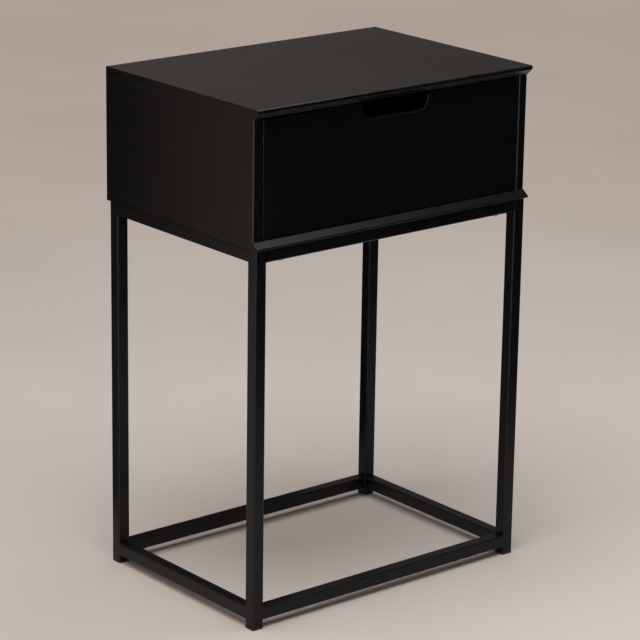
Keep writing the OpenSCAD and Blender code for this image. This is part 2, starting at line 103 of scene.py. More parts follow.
def fill(tree, socket, value):
    """Wires an output into a socket, or several into one that takes several, or sets a plain value."""
    if isinstance(value, bpy.types.NodeSocket):
        tree.links.new(value, socket)
    elif isinstance(value, list):
        for each in value:
            tree.links.new(each, socket)
    else:
        socket.default_value = value


def shown(sockets, name):
    """The socket of that name that the node's present options show."""
    return next(socket for socket in sockets if socket.enabled and socket.name == name)


def sums(tree, operation, *values, clamp=False):
    """The output of a Math node on one, two or three values."""
    wires = dict(enumerate(values))
    return put(tree, "ShaderNodeMath", wires, operation=operation, use_clamp=clamp).outputs[0]


def product(tree, *values):
    """The values multiplied together, from the first to the last."""
    total = values[0]
    for value in values[1:]:
        total = sums(tree, "MULTIPLY", total, value)
    return total


def rest_of(tree, whole, part):
    """What is left of the whole when the part is taken away."""
    return sums(tree, "SUBTRACT", whole, part)


def between(tree, value, low, high, to_low=0.0, to_high=1.0):
    """Stretches low..high of a value onto to_low..to_high and holds it there."""
    wires = {"Value": value, "From Min": low, "From Max": high, "To Min": to_low, "To Max": to_high}
    return put(tree, "ShaderNodeMapRange", wires).outputs["Result"]


def new_group(name, kind, inputs, outputs):
    """An empty node group with named sockets, and its input and output nodes."""
    tree = bpy.data.node_groups.new(name, kind)
    for title, socket, start in inputs:
        made = tree.interface.new_socket(name=title, in_out="INPUT", socket_type=socket)
        if start is not None:
            made.default_value = start
    for title, socket in outputs:
        tree.interface.new_socket(name=title, in_out="OUTPUT", socket_type=socket)
    return tree, tree.nodes.new("NodeGroupInput").outputs, tree.nodes.new("NodeGroupOutput")


FLOAT, VECTOR = "NodeSocketFloat", "NodeSocketVector"

# ---- Shared surface effects ----


def object_place(tree):
    """Coordinates of the surface in the piece's own frame, in metres."""
    return put(tree, "ShaderNodeTexCoord").outputs["Object"]


def cloudy(tree, place, size, detail=3.0, rough=0.55):
    """A noise whose patches are about size metres across."""
    wires = {"Vector": place, "Scale": 1 / size, "Detail": detail, "Roughness": rough}
    return put(tree, "ShaderNodeTexNoise", wires).outputs[0]


def scaled_noise(tree, place, size, detail=3.0, rough=0.55):
    """The same noise, with its size taken from another node."""
    scale = sums(tree, "DIVIDE", 1.0, size)
    wires = {"Vector": place, "Scale": scale, "Detail": detail, "Roughness": rough}
    return put(tree, "ShaderNodeTexNoise", wires).outputs[0]


def edge_wear_and_highlight():
    """Mask along a rounded edge of where handling has polished and thinned the finish, which on the black
    lacquer and powder coat also places a painted highlight.
    """
    tree, given, out = new_group(
        "edge_wear_and_highlight", "ShaderNodeTree",
        [("Patch Size", FLOAT, 0.02), ("Amount", FLOAT, 0.5)], [("Mask", FLOAT)],
    )
    arris = put(tree, "ShaderNodeAttribute", attribute_name="arris").outputs["Fac"]
    patch = scaled_noise(tree, object_place(tree), given["Patch Size"], 4.0, 0.6)
    wear_and_highlight_patches = between(tree, patch, 0.35, 0.7)
    fill(tree, out.inputs["Mask"], product(tree, arris, wear_and_highlight_patches, given["Amount"]))
    return tree


def settled_dust():
    """Mask of the fine dust that lies on faces that look up."""
    tree, given, out = new_group(
        "settled_dust", "ShaderNodeTree",
        [("Speck Size", FLOAT, 0.0008), ("Amount", FLOAT, 0.3)], [("Mask", FLOAT)],
    )
    place = object_place(tree)
    normal = put(tree, "ShaderNodeNewGeometry").outputs["Normal"]
    upward = put(tree, "ShaderNodeSeparateXYZ", {"Vector": normal}).outputs["Z"]
    facing = between(tree, upward, 0.5, 1.0)
    specks = between(tree, scaled_noise(tree, place, given["Speck Size"], 2.0), 0.52, 0.75)
    drift = between(tree, cloudy(tree, place, 90 * MM, 3.0), 0.3, 0.75, 0.35, 1.0)
    veil = sums(tree, "MULTIPLY_ADD", specks, 0.7, 0.3)
    mask = product(tree, facing, drift, veil)
    fill(tree, out.inputs["Mask"], sums(tree, "MULTIPLY", mask, given["Amount"], clamp=True))
    return tree


def sprayed_film():
    """Height of a sprayed coat: a soft orange peel with a finer ripple on it."""
    tree, given, out = new_group(
        "sprayed_film", "ShaderNodeTree",
        [("Peel Size", FLOAT, 0.004), ("Ripple Size", FLOAT, 0.0006), ("Ripple Share", FLOAT, 0.3)],
        [("Height", FLOAT)],
    )
    place = object_place(tree)
    peel = scaled_noise(tree, place, given["Peel Size"], 1.0, 0.4)
    ripple = scaled_noise(tree, place, given["Ripple Size"], 2.0, 0.5)
    mixed = sums(tree, "MULTIPLY_ADD", ripple, given["Ripple Share"], peel)
    fill(tree, out.inputs["Height"], mixed)
    return tree


def handling_marks():
    """Mask of wiped streaks and finger smears, which change how rough a surface is."""
    tree, given, out = new_group(
        "handling_marks", "ShaderNodeTree",
        [("Smear Size", FLOAT, 0.03), ("Amount", FLOAT, 1.0)], [("Mask", FLOAT)],
    )
    place = object_place(tree)
    smear = between(tree, scaled_noise(tree, place, given["Smear Size"], 5.0, 0.65), 0.42, 0.72)
    slanted = {"Vector": place, "Rotation": (0.3, 0.2, 0.5), "Scale": (1, 9, 4)}
    stretched = put(tree, "ShaderNodeMapping", slanted).outputs[0]
    streak = between(tree, cloudy(tree, stretched, 60 * MM, 4.0, 0.6), 0.5, 0.8)
    both = sums(tree, "MULTIPLY_ADD", streak, 0.5, smear)
    fill(tree, out.inputs["Mask"], sums(tree, "MULTIPLY", both, given["Amount"], clamp=True))
    return tree


FIBRES_IN_A_BAND = 14.0


def long_grain():
    """Fibres or brushing along one axis, and the broader bands that they gather in."""
    tree, given, out = new_group(
        "long_grain", "ShaderNodeTree",
        [("Stretch", VECTOR, (1.0, 1.0, 1.0)), ("Fibre Size", FLOAT, 0.001)],
        [("Fibre", FLOAT), ("Band", FLOAT)],
    )
    pulled = {"Vector": object_place(tree), "Scale": given["Stretch"]}
    place = put(tree, "ShaderNodeMapping", pulled).outputs[0]
    fibre = scaled_noise(tree, place, given["Fibre Size"], 4.0, 0.6)
    band_size = product(tree, given["Fibre Size"], FIBRES_IN_A_BAND)
    band = scaled_noise(tree, place, band_size, 3.0, 0.5)
    fill(tree, out.inputs["Fibre"], between(tree, fibre, 0.3, 0.7))
    fill(tree, out.inputs["Band"], between(tree, band, 0.3, 0.7))
    return tree


def fine_speckle():
    """A mask of small hard-edged specks, such as chips, pores or pigment."""
    tree, given, out = new_group(
        "fine_speckle", "ShaderNodeTree",
        [("Speck Size", FLOAT, 0.001), ("Cover", FLOAT, 0.2)], [("Mask", FLOAT)],
    )
    scale = sums(tree, "DIVIDE", 1.0, given["Speck Size"])
    cells = put(tree, "ShaderNodeTexVoronoi", {"Vector": object_place(tree), "Scale": scale})
    picked = put(tree, "ShaderNodeSeparateColor", {"Color": cells.outputs["Color"]}).outputs[0]
    fill(tree, out.inputs["Mask"], sums(tree, "LESS_THAN", picked, given["Cover"]))
    return tree


EFFECT_MAKERS = (edge_wear_and_highlight, settled_dust, sprayed_film, handling_marks, long_grain, fine_speckle)
EFFECTS = {maker.__name__: maker() for maker in EFFECT_MAKERS}


def effect(tree, name, **inputs):
    """Places a shared effect in a material with that material's own values. Returns its outputs."""
    placed = put(tree, "ShaderNodeGroup", node_tree=EFFECTS[name])
    for key, value in inputs.items():
        fill(tree, placed.inputs[key.replace("_", " ").title()], value)
    return placed.outputs


def tinted(tree, mask, plain, marked):
    """Goes from the plain colour to the marked colour as the mask rises."""
    node = put(tree, "ShaderNodeMix", data_type="RGBA")
    for name, value in (("Factor", mask), ("A", plain), ("B", marked)):
        fill(tree, shown(node.inputs, name), value)
    return shown(node.outputs, "Result")


def raised(tree, height, depth):
    """A bump whose full height is depth metres."""
    wires = {"Height": height, "Distance": depth, "Strength": 1.0}
    return put(tree, "ShaderNodeBump", wires).outputs["Normal"]


def new_material(name, **sockets):
    """A material with one Principled shader, whose constant values are set on its own sockets."""
    made = bpy.data.materials.new(name)
    made.use_nodes = True
    tree = made.node_tree
    shader = tree.nodes["Principled BSDF"]
    for key, value in sockets.items():
        shader.inputs[key.replace("_", " ")].default_value = value
    return made, tree, shader.inputs


def rgb(red, green, blue):
    return (red, green, blue, 1.0)


# ---- Materials ----


def satin_lacquer():
    """Black satin lacquer on fibreboard."""
    made, tree, skin = new_material("satin_lacquer", Specular_IOR_Level=0.25)
    place = object_place(tree)
    rub_and_highlight = effect(tree, "edge_wear_and_highlight", patch_size=18 * MM, amount=0.8)["Mask"]
    dust = effect(tree, "settled_dust", speck_size=0.5 * MM, amount=0.10)["Mask"]
    marks = effect(tree, "handling_marks", smear_size=45 * MM, amount=0.8)["Mask"]
    depth = between(tree, cloudy(tree, place, 130 * MM), 0.3, 0.7)
    film = tinted(tree, depth, rgb(0.0026, 0.0025, 0.0025), rgb(0.0042, 0.0040, 0.0039))
    # Lighter bluish-grey colour on the rounded edges: partly edge wear, partly a painted highlight.
    film = tinted(tree, rub_and_highlight, film, rgb(0.030, 0.031, 0.035))
    fill(tree, skin["Base Color"], tinted(tree, dust, film, rgb(0.10, 0.095, 0.09)))
    rough = sums(tree, "MULTIPLY_ADD", marks, 0.06, 0.27)
    rough = sums(tree, "MULTIPLY_ADD", rub_and_highlight, -0.08, rough)
    fill(tree, skin["Roughness"], sums(tree, "MULTIPLY_ADD", dust, 0.25, rough))
    peel = effect(tree, "sprayed_film", peel_size=5 * MM, ripple_size=0.7 * MM, ripple_share=0.22)
    fill(tree, skin["Normal"], raised(tree, peel["Height"], 0.02 * MM))
    return made


def powder_coat():
    """Fine satin black powder coat on square tube."""
    made, tree, skin = new_material(
        "powder_coat", Specular_IOR_Level=0.24, Specular_Tint=rgb(0.88, 0.93, 1.0)
    )
    place = object_place(tree)
    rub_and_highlight = effect(tree, "edge_wear_and_highlight", patch_size=12 * MM, amount=0.9)["Mask"]
    dust = effect(tree, "settled_dust", speck_size=0.4 * MM, amount=0.08)["Mask"]
    marks = effect(tree, "handling_marks", smear_size=25 * MM, amount=0.7)["Mask"]
    depth = between(tree, cloudy(tree, place, 60 * MM), 0.3, 0.7)
    film = tinted(tree, depth, rgb(0.0026, 0.0026, 0.0027), rgb(0.0042, 0.0042, 0.0043))
    grit = effect(tree, "fine_speckle", speck_size=0.35 * MM, cover=0.12)["Mask"]
    film = tinted(tree, product(tree, grit, 0.4), film, rgb(0.013, 0.013, 0.013))
    # Lighter colour on the rounded edges and tube corners: partly edge wear, partly a painted highlight.
    film = tinted(tree, rub_and_highlight, film, rgb(0.034, 0.034, 0.036))
    fill(tree, skin["Base Color"], tinted(tree, dust, film, rgb(0.11, 0.10, 0.095)))
    rough = sums(tree, "MULTIPLY_ADD", marks, 0.08, 0.31)
    rough = sums(tree, "MULTIPLY_ADD", rub_and_highlight, -0.10, rough)
    fill(tree, skin["Roughness"], sums(tree, "MULTIPLY_ADD", dust, 0.2, rough))
    peel = effect(tree, "sprayed_film", peel_size=2.2 * MM, ripple_size=0.35 * MM, ripple_share=0.55)
    fill(tree, skin["Normal"], raised(tree, peel["Height"], 0.03 * MM))
    return made


def drawer_foil():
    """Matt black foil on board, embossed with a fine pore that runs from front to back."""
    made, tree, skin = new_material("drawer_foil", Specular_IOR_Level=0.35)
    grain = effect(tree, "long_grain", stretch=(6.0, 0.25, 6.0), fibre_size=2.4 * MM)
    rub_and_highlight = effect(tree, "edge_wear_and_highlight", patch_size=10 * MM, amount=0.8)["Mask"]
    dust = effect(tree, "settled_dust", speck_size=0.6 * MM, amount=0.15)["Mask"]
    foil = tinted(tree, grain["Band"], rgb(0.013, 0.0125, 0.012), rgb(0.021, 0.020, 0.019))
    foil = tinted(tree, rub_and_highlight, foil, rgb(0.075, 0.066, 0.055))
    fill(tree, skin["Base Color"], tinted(tree, dust, foil, rgb(0.12, 0.11, 0.10)))
    fill(tree, skin["Roughness"], sums(tree, "MULTIPLY_ADD", grain["Fibre"], 0.14, 0.48))
    fill(tree, skin["Normal"], raised(tree, grain["Fibre"], 0.06 * MM))
    return made


def hardboard():
    """Thin black-faced hardboard with its pressed fibres showing."""
    made, tree, skin = new_material("hardboard", Specular_IOR_Level=0.3)
    fibres = effect(tree, "long_grain", stretch=(1.0, 1.0, 2.2), fibre_size=1.6 * MM)
    chips = effect(tree, "fine_speckle", speck_size=1.3 * MM, cover=0.16)["Mask"]
    rub_and_highlight = effect(tree, "edge_wear_and_highlight", patch_size=8 * MM, amount=1.0)["Mask"]
    dust = effect(tree, "settled_dust", speck_size=0.6 * MM, amount=0.15)["Mask"]
    face = tinted(tree, fibres["Band"], rgb(0.016, 0.0145, 0.013), rgb(0.026, 0.023, 0.020))
    face = tinted(tree, product(tree, chips, 0.45), face, rgb(0.050, 0.040, 0.030))
    face = tinted(tree, rub_and_highlight, face, rgb(0.16, 0.105, 0.062))
    fill(tree, skin["Base Color"], tinted(tree, dust, face, rgb(0.12, 0.11, 0.10)))
    fill(tree, skin["Roughness"], sums(tree, "MULTIPLY_ADD", fibres["Fibre"], 0.18, 0.52))
    fill(tree, skin["Normal"], raised(tree, fibres["Fibre"], 0.08 * MM))
    return made


def epoxy_coat():
    """Smooth black epoxy on the runners' sheet steel, worn to the metal along its edges."""
    made, tree, skin = new_material("epoxy_coat", Specular_IOR_Level=0.55)
    rub_and_highlight = effect(tree, "edge_wear_and_highlight", patch_size=9 * MM, amount=1.0)["Mask"]
    track = effect(tree, "long_grain", stretch=(5.0, 0.12, 5.0), fibre_size=1.5 * MM)
    film = tinted(tree, track["Band"], rgb(0.022, 0.022, 0.023), rgb(0.034, 0.034, 0.036))
    fill(tree, skin["Base Color"], tinted(tree, rub_and_highlight, film, rgb(0.16, 0.16, 0.165)))
    fill(tree, skin["Metallic"], product(tree, rub_and_highlight, 0.6))
    fill(tree, skin["Roughness"], sums(tree, "MULTIPLY_ADD", track["Fibre"], 0.12, 0.32))
    peel = effect(tree, "sprayed_film", peel_size=3 * MM, ripple_size=0.5 * MM, ripple_share=0.25)
    fill(tree, skin["Normal"], raised(tree, peel["Height"], 0.04 * MM))
    return made


def zinc_plate():
    """Bright zinc on steel screws and pins, with its faint iridescent passivation."""
    made, tree, skin = new_material("zinc_plate", Metallic=1.0)
    place = object_place(tree)
    rub_and_highlight = effect(tree, "edge_wear_and_highlight", patch_size=2 * MM, amount=0.8)["Mask"]
    marks = effect(tree, "handling_marks", smear_size=2 * MM, amount=1.0)["Mask"]
    film = between(tree, cloudy(tree, place, 4 * MM), 0.3, 0.7)
    plate = tinted(tree, film, rgb(0.50, 0.52, 0.56), rgb(0.62, 0.60, 0.53))
    plate = tinted(tree, product(tree, marks, 0.5), plate, rgb(0.34, 0.34, 0.35))
    fill(tree, skin["Base Color"], tinted(tree, rub_and_highlight, plate, rgb(0.75, 0.76, 0.78)))
    fill(tree, skin["Roughness"], sums(tree, "MULTIPLY_ADD", marks, 0.2, 0.28))
    scratches = effect(tree, "long_grain", stretch=(1.0, 7.0, 2.0), fibre_size=0.4 * MM)["Fibre"]
    fill(tree, skin["Normal"], raised(tree, scratches, 0.012 * MM))
    return made


def moulded_polyethylene():
    """Black moulded plastic with a spark-eroded texture, scuffed on its rims."""
    made, tree, skin = new_material("moulded_polyethylene", Specular_IOR_Level=0.4)
    place = object_place(tree)
    rub_and_highlight = effect(tree, "edge_wear_and_highlight", patch_size=4 * MM, amount=1.0)["Mask"]
    grit = effect(tree, "fine_speckle", speck_size=0.3 * MM, cover=0.3)["Mask"]
    tone = between(tree, cloudy(tree, place, 6 * MM), 0.3, 0.7)
    plastic = tinted(tree, tone, rgb(0.008, 0.008, 0.008), rgb(0.013, 0.013, 0.013))
    fill(tree, skin["Base Color"], tinted(tree, rub_and_highlight, plastic, rgb(0.05, 0.048, 0.045)))
    fill(tree, skin["Roughness"], sums(tree, "MULTIPLY_ADD", grit, 0.14, 0.5))
    fill(tree, skin["Normal"], raised(tree, cloudy(tree, place, 0.35 * MM, 2.0), 0.03 * MM))
    return made


def natural_nylon():
    """Off-white nylon, slightly translucent, greyed by the track it rolls on."""
    made, tree, skin = new_material(
        "natural_nylon", Subsurface_Weight=0.25, Subsurface_Scale=1.5 * MM, Specular_IOR_Level=0.5
    )
    place = object_place(tree)
    rub_and_highlight = effect(tree, "edge_wear_and_highlight", patch_size=3 * MM, amount=0.7)["Mask"]
    grime = effect(tree, "handling_marks", smear_size=3 * MM, amount=0.8)["Mask"]
    tone = between(tree, cloudy(tree, place, 5 * MM), 0.3, 0.7)
    nylon = tinted(tree, tone, rgb(0.66, 0.65, 0.60), rgb(0.74, 0.73, 0.69))
    nylon = tinted(tree, product(tree, grime, 0.35), nylon, rgb(0.30, 0.29, 0.27))
    fill(tree, skin["Base Color"], tinted(tree, rub_and_highlight, nylon, rgb(0.45, 0.44, 0.42)))
    fill(tree, skin["Roughness"], sums(tree, "MULTIPLY_ADD", grime, 0.2, 0.34))
    fill(tree, skin["Normal"], raised(tree, cloudy(tree, place, 0.5 * MM, 2.0), 0.015 * MM))
    return made


def bare_beech():
    """Bare beech, with its short dark flecks along the grain."""
    made, tree, skin = new_material("bare_beech", Specular_IOR_Level=0.3)
    grain = effect(tree, "long_grain", stretch=(3.0, 3.0, 0.5), fibre_size=0.7 * MM)
    flecks = effect(tree, "fine_speckle", speck_size=0.8 * MM, cover=0.14)["Mask"]
    wood = tinted(tree, grain["Band"], rgb(0.50, 0.33, 0.19), rgb(0.62, 0.44, 0.28))
    wood = tinted(tree, product(tree, grain["Fibre"], 0.4), wood, rgb(0.42, 0.26, 0.14))
    wood = tinted(tree, product(tree, flecks, 0.4), wood, rgb(0.30, 0.17, 0.09))
    fill(tree, skin["Base Color"], wood)
    fill(tree, skin["Roughness"], sums(tree, "MULTIPLY_ADD", grain["Fibre"], 0.2, 0.55))
    fill(tree, skin["Normal"], raised(tree, grain["Fibre"], 0.05 * MM))
    return made


LACQUER, POWDER, FOIL, BOARD = satin_lacquer(), powder_coat(), drawer_foil(), hardboard()
EPOXY, ZINC, PLASTIC = epoxy_coat(), zinc_plate(), moulded_polyethylene()
NYLON, BEECH = natural_nylon(), bare_beech()

# ---- Meshes taken from the frame ----

SAME_POINT = 0.001 * MM  # points closer than this are one point
FLAT_ANGLE = math.radians(0.5)  # faces that meet within this are one flat face
SHARP_ANGLE = math.radians(20)  # edges that turn less are left as they are
SHADED_ANGLE = math.radians(38)  # edges that turn less are shaded smooth
FLAT_WEIGHT = 60  # how far the flat faces set the shading beside them
ORDER_DECIMALS = 4  # how exactly, in metres, the places of solids decide their order


def merged(node):
    """A CAD node's mesh with its doubled points joined and its flat faces made whole."""
    shape = bmesh.new()
    shape.from_mesh(NODES[node].data)
    bmesh.ops.remove_doubles(shape, verts=shape.verts, dist=SAME_POINT)
    bmesh.ops.dissolve_limit(shape, angle_limit=FLAT_ANGLE, verts=shape.verts, edges=shape.edges)
    return shape


def solids_of(node):
    """The points of each separate solid in a CAD node, as one list for each."""
    shape = merged(node)
    left, found = set(shape.verts), []
    while left:
        reached, front = set(), [left.pop()]
        while front:
            vert = front.pop()
            reached.add(vert)
            front.extend({edge.other_vert(vert) for edge in vert.link_edges} - reached)
        left -= reached
        found.append([vert.co.copy() for vert in reached])
    shape.free()
    return sorted(found, key=lambda points: [round(c, ORDER_DECIMALS) for c in points_box(points)[0]])


def points_box(points):
    """The low and high corners of the box round some points."""
    low = Vector(min(p[i] for p in points) for i in range(3))
    high = Vector(max(p[i] for p in points) for i in range(3))
    return low, high


def round_edges(shape, wanted, radius, segments=3):
    """Rounds the sharp edges that `wanted` picks, and marks the new faces as arrises."""
    layer = shape.faces.layers.float.new("arris")
    sharp = [
        edge for edge in shape.edges
        if len(edge.link_faces) == 2 and edge.calc_face_angle(0) > SHARP_ANGLE and wanted(edge)
    ]
    made = bmesh.ops.bevel(
        shape, geom=sharp, offset=radius, offset_type="OFFSET", segments=segments, profile=0.5,
        affect="EDGES", clamp_overlap=False, miter_outer="SHARP",
    )
    for face in made["faces"]:
        face[layer] = 1.0


def settle(obj):
    """Shades a piece smoothly across its rounded edges and leaves its flat faces flat."""
    mesh = obj.data
    for polygon in mesh.polygons:
        polygon.use_smooth = True
    mesh.set_sharp_from_angle(angle=SHADED_ANGLE)
    weighted = obj.modifiers.new("flat_faces", "WEIGHTED_NORMAL")
    weighted.keep_sharp = True
    weighted.weight = FLAT_WEIGHT
    make_plain(obj)


def make_plain(obj):
    """Turns a piece and its modifiers into one plain mesh."""
    graph = bpy.context.evaluated_depsgraph_get()
    done = bpy.data.meshes.new_from_object(
        obj.evaluated_get(graph), preserve_all_data_layers=True, depsgraph=graph
    )
    obj.modifiers.clear()
    done.name = obj.name
    obj.data = done


def piece(name, mesh, material, body, *stands_for):
    """Names a finished mesh, gives it its material, and lets it ride on its body."""
    obj = bpy.data.objects.new(name, mesh)
    bpy.context.scene.collection.objects.link(obj)
    mesh.materials.clear()
    mesh.materials.append(material)
    settle(obj)
    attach(obj, body)
    if stands_for:
        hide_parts(*stands_for)
    return obj


def to_mesh(name, shape):
    """Turns a worked shape into a mesh whose faces look outwards."""
    mesh = bpy.data.meshes.new(name)
    bmesh.ops.recalc_face_normals(shape, faces=shape.faces)
    shape.to_mesh(mesh)
    shape.free()
    return mesh


def finished(node, material, radius, wanted, segments=3):
    """A CAD piece with its edges rounded, standing for that piece."""
    shape = merged(node)
    round_edges(shape, wanted, radius, segments)
    name = "finished_" + node
    return piece(name, to_mesh(name, shape), material, NODES[node]["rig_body"], node)


def longer_than(length):
    """A rule that picks edges by their length."""
    return lambda edge: edge.calc_length() > length


# ---- Panels and boards ----

CASE_ARRIS = 0.45 * MM
FRONT_ARRIS = 0.7 * MM
BOARD_ARRIS = 0.6 * MM
THIN_ARRIS = 0.3 * MM

# The shortest edges that are rounded on each sort of board
CASE_EDGE = 4 * MM
BOARD_EDGE = 11 * MM
THIN_EDGE = 20 * MM
FRONT_SIDE_EDGE = 100 * MM  # on the drawer front, anywhere
FRONT_RIM_EDGE = 12 * MM  # on the drawer front, round its two faces

ON_FACE = 0.1 * MM  # how near a face an edge of the drawer front lies to belong to it


def drawer_front_edge(edge):
    """Picks the long edges of the drawer front and the whole rim of its finger notch."""
    low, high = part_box("drawer_front")
    side_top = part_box("drawer_left_side")[1].z
    length = edge.calc_length()
    middle = (edge.verts[0].co + edge.verts[1].co) / 2
    in_notch = middle.z > side_top + 1 * MM and abs(middle.x) < (high.x - low.x) / 4
    on_face = min(middle.y - low.y, high.y - middle.y) < ON_FACE
    return length > FRONT_SIDE_EDGE or on_face and (in_notch or length > FRONT_RIM_EDGE)


def panels():
    """The case, the drawer front, the drawer box and the thin boards."""
    for node in CASE_PANELS:
        finished(node, LACQUER, CASE_ARRIS, longer_than(CASE_EDGE))
    finished("drawer_front", LACQUER, FRONT_ARRIS, drawer_front_edge)
    for node in DRAWER_BOX:
        finished(node, FOIL, BOARD_ARRIS, longer_than(BOARD_EDGE))
    for node in THIN_BOARDS:
        finished(node, BOARD, THIN_ARRIS, longer_than(THIN_EDGE), 2)


# ---- Tubes ----


CORNER_FACTOR = 3.4  # brings a face at the middle of a corner up to a full mark


def mark_corners(mesh):
    """Marks the tube's rounded corners as arrises, which the powder coat lightens with edge wear and a
    painted highlight.
    """
    marks = mesh.attributes.get("arris") or mesh.attributes.new("arris", "FLOAT", "FACE")
    for polygon in mesh.polygons:
        squareness = max(abs(c) for c in polygon.normal)
        marks.data[polygon.index].value = min(1.0, (1 - squareness) * CORNER_FACTOR)


def tubes():
    """The legs and rails of the frame."""
    for node in LEGS + TOP_RAILS + BOTTOM_RAILS:
        name = "coated_" + node
        mesh = to_mesh(name, merged(node))
        mark_corners(mesh)
        piece(name, mesh, POWDER, NODES[node]["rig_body"], node)


# ---- Grown parts: screws, dowels and welds ----

GEOMETRY, MATERIAL, INTEGER = "NodeSocketGeometry", "NodeSocketMaterial", "NodeSocketInt"


def new_grower(name, *sizes):
    """A Geometry Nodes tree that takes points, named sizes and a finish."""
    inputs = [("Points", GEOMETRY, None), *((title, FLOAT, start) for title, start in sizes)]
    inputs += [("Seed", INTEGER, 1), ("Finish", MATERIAL, None)]
    return new_group(name, "GeometryNodeTree", inputs, [("Grown", GEOMETRY)])


def lathe(tree, around, along, radius, height):
    """A closed round body with `around` sides and `along` steps.

    `radius` and `height` are rules that wire a point's reach and height from how far along it lies, 0 to 1.
    """
    body = put(
        tree, "GeometryNodeMeshCylinder",
        {"Vertices": around, "Side Segments": along, "Radius": 1.0, "Depth": 1.0}, fill_type="NGON",
    ).outputs["Mesh"]
    start = put(tree, "GeometryNodeInputPosition").outputs[0]
    place = put(tree, "ShaderNodeSeparateXYZ", {"Vector": start}).outputs
    share = sums(tree, "ADD", place["Z"], 0.5)
    turn = sums(tree, "DIVIDE", sums(tree, "ARCTAN2", place["Y"], place["X"]), math.tau)
    reach = radius(share, turn)
    wires = {
        "X": product(tree, place["X"], reach),
        "Y": product(tree, place["Y"], reach),
        "Z": height(share),
    }
    where = put(tree, "ShaderNodeCombineXYZ", wires).outputs[0]
    return put(tree, "GeometryNodeSetPosition", {"Geometry": body, "Position": where}).outputs[0]


def planted(tree, points, shape, seed):
    """Sets a shape on every point, along the point's aim and turned by a fixed random angle."""
    stored = put(tree, "GeometryNodeInputNamedAttribute", {"Name": "aim"}, data_type="FLOAT_VECTOR")
    chance = put(tree, "FunctionNodeRandomValue", {"Seed": seed}, data_type="FLOAT")
    shown(chance.inputs, "Max").default_value = math.tau
    spun = put(tree, "FunctionNodeAxisAngleToRotation", {"Angle": shown(chance.outputs, "Value")}).outputs[0]
    turned = {"Rotation": spun, "Vector": stored.outputs[0]}
    facing = put(tree, "FunctionNodeAlignRotationToVector", turned, axis="Z").outputs[0]
    wires = {"Points": points, "Instance": shape, "Rotation": facing}
    return put(tree, "GeometryNodeInstanceOnPoints", wires).outputs[0]


def finish_grower(tree, grown, given, out):
    """Makes the instances real and gives them their finish."""
    solid = put(tree, "GeometryNodeRealizeInstances", {"Geometry": grown}).outputs[0]
    wires = {"Geometry": solid, "Material": given["Finish"]}
    fill(tree, out.inputs["Grown"], put(tree, "GeometryNodeSetMaterial", wires).outputs[0])
    return tree


HEAD_SIDES, HEAD_STEPS = 32, 7
SHANK_SIDES, STEPS_A_TURN = 14, 6.0
HEAD_BRIM = 0.58  # the domed head's radius at its top, as a share of its widest
THREAD_ROOT, THREAD_HEIGHT = 0.75, 0.24  # shares of the shank's radius
POINT_TURNS, POINT_SHARE = 2.5, 0.2  # the turns over which a screw comes to a point, and how blunt it stays
CROSS_WIDTH = 0.24  # share of the head's radius
DOWEL_SIDES, DOWEL_STEPS = 60, 34
FLUTES = 20
BEAD_SIDES, STEPS_A_RIPPLE = 10, 4.0


def screw_grower():
    """Screws with a domed or countersunk head, a driver's cross and a rolled thread."""
    tree, given, out = new_grower(
        "screws", ("Head Radius", 0.003), ("Head Height", 0.0015), ("Shank Radius", 0.0015),
        ("Length", 0.012), ("Thread Pitch", 0.0012), ("Countersunk", 0.0),
    )

    def head_radius(share, _turn):
        below = rest_of(tree, 1.0, share)
        dome = sums(tree, "SQRT", rest_of(tree, 1.0, product(tree, below, below)))
        swell = sums(tree, "MULTIPLY_ADD", dome, 1 - HEAD_BRIM, HEAD_BRIM)
        domed = product(tree, given["Head Radius"], swell)
        cone = between(tree, share, 0.0, 1.0, given["Head Radius"], given["Shank Radius"])
        return between(tree, given["Countersunk"], 0.0, 1.0, domed, cone)

    def thread_radius(share, turn):
        depth = product(tree, share, given["Length"])
        turns_in = sums(tree, "DIVIDE", depth, given["Thread Pitch"])
        phase = sums(tree, "FRACT", rest_of(tree, turns_in, turn))
        valley = sums(tree, "ABSOLUTE", sums(tree, "MULTIPLY_ADD", phase, 2.0, -1.0))
        ridge = rest_of(tree, 1.0, valley)
        left = sums(tree, "DIVIDE", rest_of(tree, given["Length"], depth), given["Thread Pitch"])
        point = between(tree, left, 0.0, POINT_TURNS, POINT_SHARE, 1.0)
        cut = sums(tree, "MULTIPLY_ADD", ridge, THREAD_HEIGHT, THREAD_ROOT)
        return product(tree, cut, point, given["Shank Radius"])

    def head_height(share):
        return product(tree, share, given["Head Height"])

    head = lathe(tree, HEAD_SIDES, HEAD_STEPS, head_radius, head_height)
    arm = put(tree, "ShaderNodeCombineXYZ", {
        "X": product(tree, given["Head Radius"], 1.1),
        "Y": product(tree, given["Head Radius"], CROSS_WIDTH),
        "Z": product(tree, given["Head Height"], 1.2),
    }).outputs[0]
    bar = put(tree, "GeometryNodeMeshCube", {"Size": arm}).outputs["Mesh"]
    quarter = put(tree, "FunctionNodeAxisAngleToRotation", {"Angle": math.pi / 2}).outputs[0]
    crossed = put(tree, "GeometryNodeTransform", {"Geometry": bar, "Rotation": quarter}).outputs[0]
    driven = put(
        tree, "GeometryNodeMeshBoolean", {"Mesh 1": head, "Mesh 2": [bar, crossed]},
        operation="DIFFERENCE", solver="EXACT",
    ).outputs["Mesh"]
    turns = sums(tree, "DIVIDE", given["Length"], given["Thread Pitch"])
    inside = product(tree, given["Head Height"], 0.75)

    def shank_height(share):
        return between(tree, share, 0.0, 1.0, inside, given["Length"])

    shank = lathe(tree, SHANK_SIDES, product(tree, turns, STEPS_A_TURN), thread_radius, shank_height)
    screw = put(tree, "GeometryNodeJoinGeometry", {"Geometry": [driven, shank]}).outputs[0]
    return finish_grower(tree, planted(tree, given["Points"], screw, given["Seed"]), given, out)


